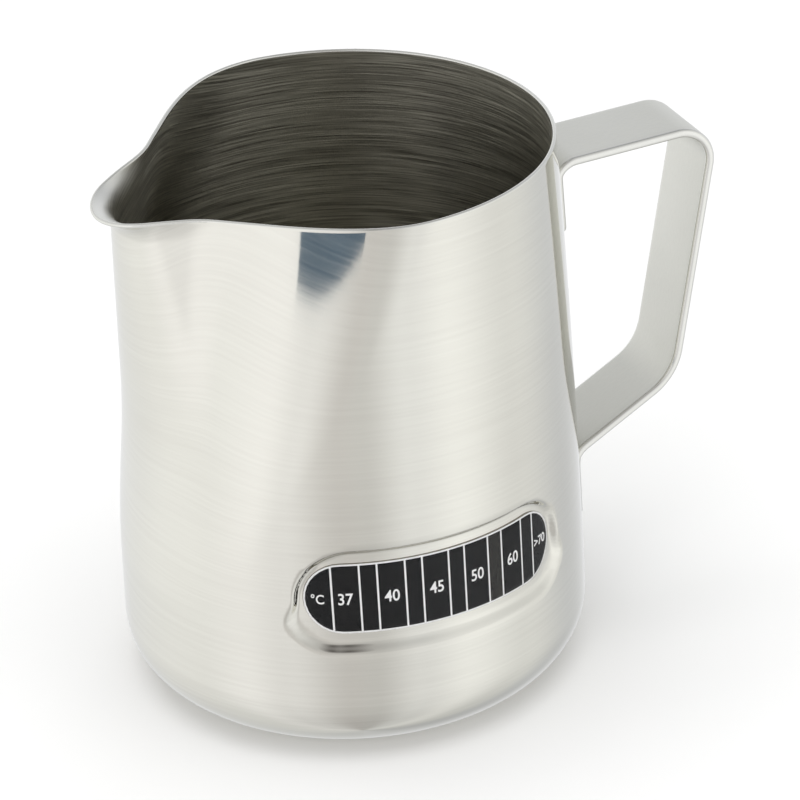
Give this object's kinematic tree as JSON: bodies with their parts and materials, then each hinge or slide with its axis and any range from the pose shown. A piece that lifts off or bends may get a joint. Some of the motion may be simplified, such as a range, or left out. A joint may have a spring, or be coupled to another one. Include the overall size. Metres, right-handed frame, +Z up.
{
  "type": "milk frothing pitcher",
  "caption": "Stainless steel milk frothing pitcher with a pressed pouring spout, a bent strap handle and a temperature strip in a pressed recess.",
  "frame": {"origin": "on the jug's axis, in the plane that it stands on", "axes": "+Z up along the jug's axis, +X towards the handle, -X towards the spout, -Y towards the temperature strip"},
  "size_m": [0.1221, 0.09, 0.108],
  "materials": {
    "jug_steel": "fine satin brushing round the axis outside, coarser turned brushing inside, polished rim",
    "strap_steel": "bead-matt faces with bright polished edges",
    "weld_metal": "bare spot-weld metal, slightly dull",
    "adhesive": "clear pressure-sensitive adhesive",
    "black_film": "black polyester film",
    "white_ink": "white screen-printed ink",
    "crystal_ink": "thermochromic liquid-crystal ink, black when cold",
    "clear_film": "clear polyester film"
  },
  "bodies": {
    "root": {"jug_body": "jug_steel", "handle_strap": "strap_steel", "upper_spot_welds": "weld_metal", "lower_spot_welds": "weld_metal", "strip_adhesive": "adhesive", "strip_backing": "black_film", "scale_print": "white_ink", "cover_film": "clear_film", "crystal_band_01": "crystal_ink", "crystal_band_02": "crystal_ink", "crystal_band_03": "crystal_ink", "crystal_band_04": "crystal_ink", "crystal_band_05": "crystal_ink", "crystal_band_06": "crystal_ink", "crystal_band_07": "crystal_ink", "crystal_band_08": "crystal_ink", "crystal_band_09": "crystal_ink", "crystal_band_10": "crystal_ink", "crystal_band_11": "crystal_ink"}
  },
  "joints": []
}
